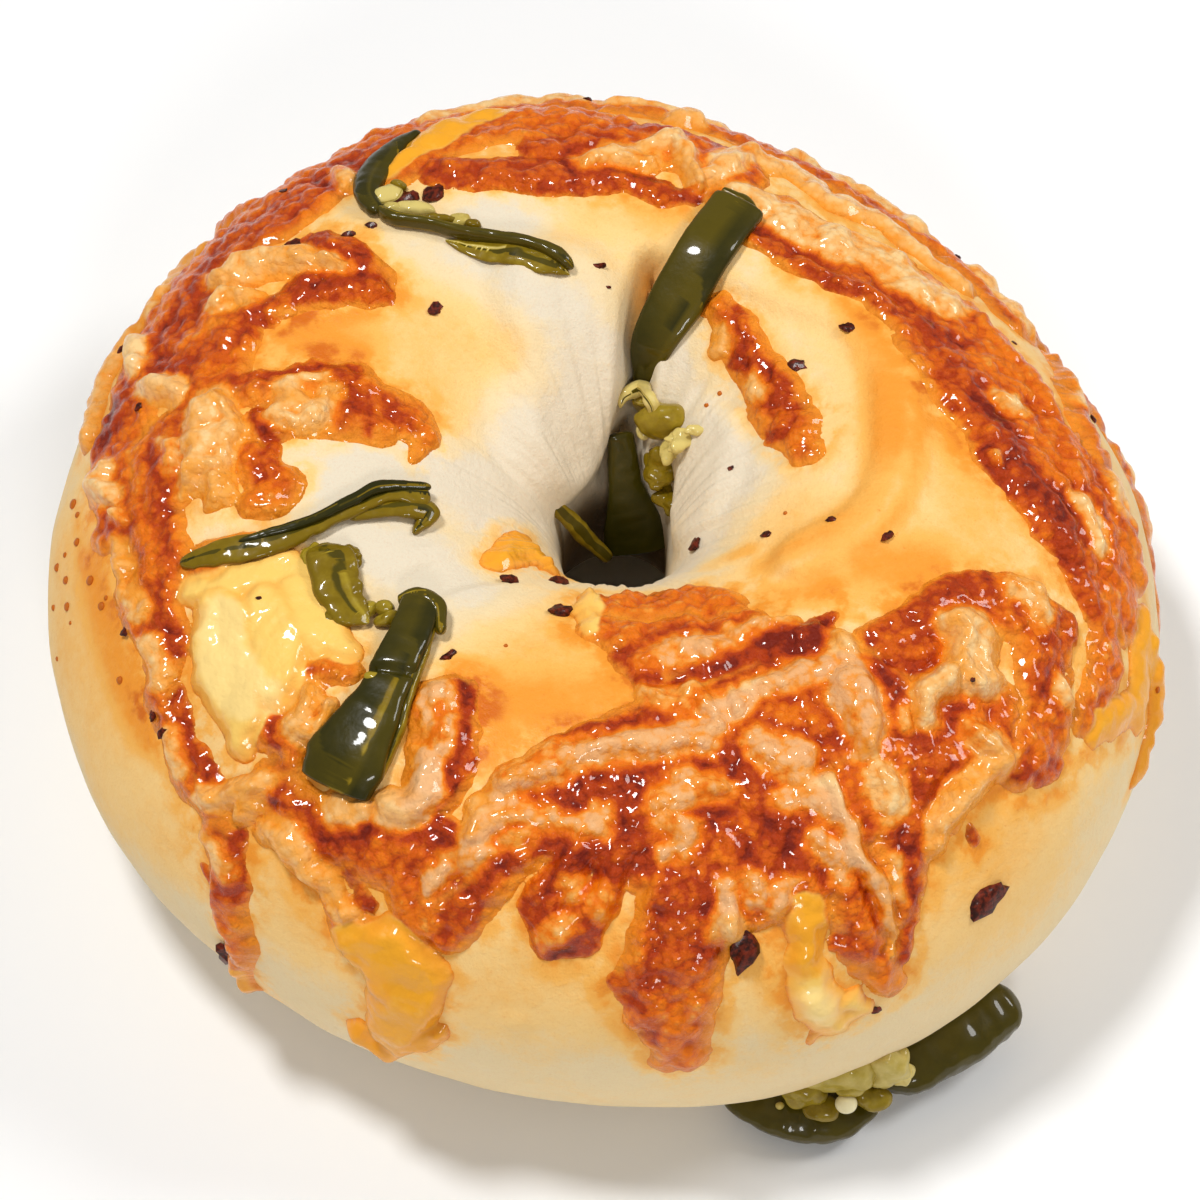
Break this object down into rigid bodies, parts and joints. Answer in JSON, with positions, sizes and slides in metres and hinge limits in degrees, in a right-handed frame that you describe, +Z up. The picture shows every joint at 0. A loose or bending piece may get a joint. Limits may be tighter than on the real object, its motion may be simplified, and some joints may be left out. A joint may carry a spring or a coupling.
{
  "type": "bagel",
  "caption": "Round baked bagel with a hole, its crust covered in browned melted cheese and drips, with green pepper strips and dark flakes.",
  "frame": {"origin": "on the floor under the middle of the part's box, close to the hole's axis", "axes": "+Z up along the hole's axis, +X to the right and -Y to the front as the picture shows it"},
  "size_m": [0.1157, 0.1174, 0.0475],
  "materials": {
    "crust_and_cheese": "baked dough with browned melted cheese, satin with an oily gloss on the cheese",
    "pepper_skin": "glossy wet dark green skin",
    "pepper_flesh": "moist pale to olive green flesh"
  },
  "bodies": {
    "root": {"bagel": "crust_and_cheese", "pepper_curl_back": "pepper_skin", "pepper_strip_fold": "pepper_skin", "pepper_strip_hole": "pepper_skin", "pepper_sliver_hole": "pepper_flesh", "pepper_core_hole": "pepper_flesh", "pepper_strip_left": "pepper_skin", "pepper_chunk_left": "pepper_flesh", "pepper_strip_front": "pepper_skin", "pepper_half_right": "pepper_skin", "pepper_half_left": "pepper_skin", "pepper_flesh_front": "pepper_flesh"}
  },
  "joints": []
}
